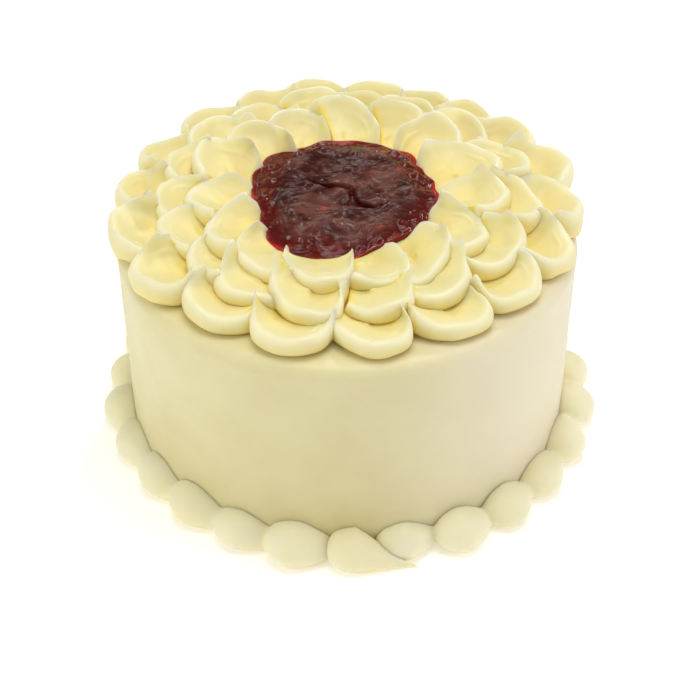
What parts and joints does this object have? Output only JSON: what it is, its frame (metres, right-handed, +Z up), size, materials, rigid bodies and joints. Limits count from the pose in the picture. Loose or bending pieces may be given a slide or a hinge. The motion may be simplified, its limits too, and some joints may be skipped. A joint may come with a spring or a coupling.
{
  "type": "iced layer cake",
  "caption": "Round iced layer cake with smooth sides, rows of scooped icing petals round a pool of red jam on top, and a piped shell border at the foot.",
  "frame": {"origin": "centre of the flat underside of the cake, on the cake's axis", "axes": "+Z up, the axis of the round cake; -Y towards the side where the first and last shell of the border meet, +X to the right of it"},
  "size_m": [0.2053, 0.2062, 0.1092],
  "materials": {
    "icing": "smooth pale cream buttercream with a soft satin surface",
    "petal_icing": "scooped pale yellow buttercream, satin, whiter on thin lips",
    "jam": "dark red glossy fruit jam with lumps and seeds, bright red where it is thin"
  },
  "bodies": {
    "root": {"iced_cake": "icing", "inner_petal_00": "petal_icing", "inner_petal_01": "petal_icing", "inner_petal_02": "petal_icing", "inner_petal_03": "petal_icing", "inner_petal_04": "petal_icing", "inner_petal_05": "petal_icing", "inner_petal_06": "petal_icing", "inner_petal_07": "petal_icing", "inner_petal_08": "petal_icing", "inner_petal_09": "petal_icing", "inner_petal_10": "petal_icing", "inner_petal_11": "petal_icing", "inner_petal_12": "petal_icing", "inner_petal_13": "petal_icing", "inner_petal_14": "petal_icing", "jam": "jam", "rim_petal_00": "petal_icing", "rim_petal_01": "petal_icing", "rim_petal_02": "petal_icing", "rim_petal_03": "petal_icing", "rim_petal_04": "petal_icing", "rim_petal_05": "petal_icing", "rim_petal_06": "petal_icing", "rim_petal_07": "petal_icing", "rim_petal_08": "petal_icing", "rim_petal_09": "petal_icing", "rim_petal_10": "petal_icing", "rim_petal_11": "petal_icing", "rim_petal_12": "petal_icing", "rim_petal_13": "petal_icing", "rim_petal_14": "petal_icing", "rim_petal_15": "petal_icing", "rim_petal_16": "petal_icing", "rim_petal_17": "petal_icing", "rim_petal_18": "petal_icing", "second_petal_00": "petal_icing", "second_petal_01": "petal_icing", "second_petal_02": "petal_icing", "second_petal_03": "petal_icing", "second_petal_04": "petal_icing", "second_petal_05": "petal_icing", "second_petal_06": "petal_icing", "second_petal_07": "petal_icing", "second_petal_08": "petal_icing", "second_petal_09": "petal_icing", "second_petal_10": "petal_icing", "second_petal_11": "petal_icing", "second_petal_12": "petal_icing", "second_petal_13": "petal_icing", "second_petal_14": "petal_icing", "second_petal_15": "petal_icing", "second_petal_16": "petal_icing", "shell_border": "icing"}
  },
  "joints": []
}
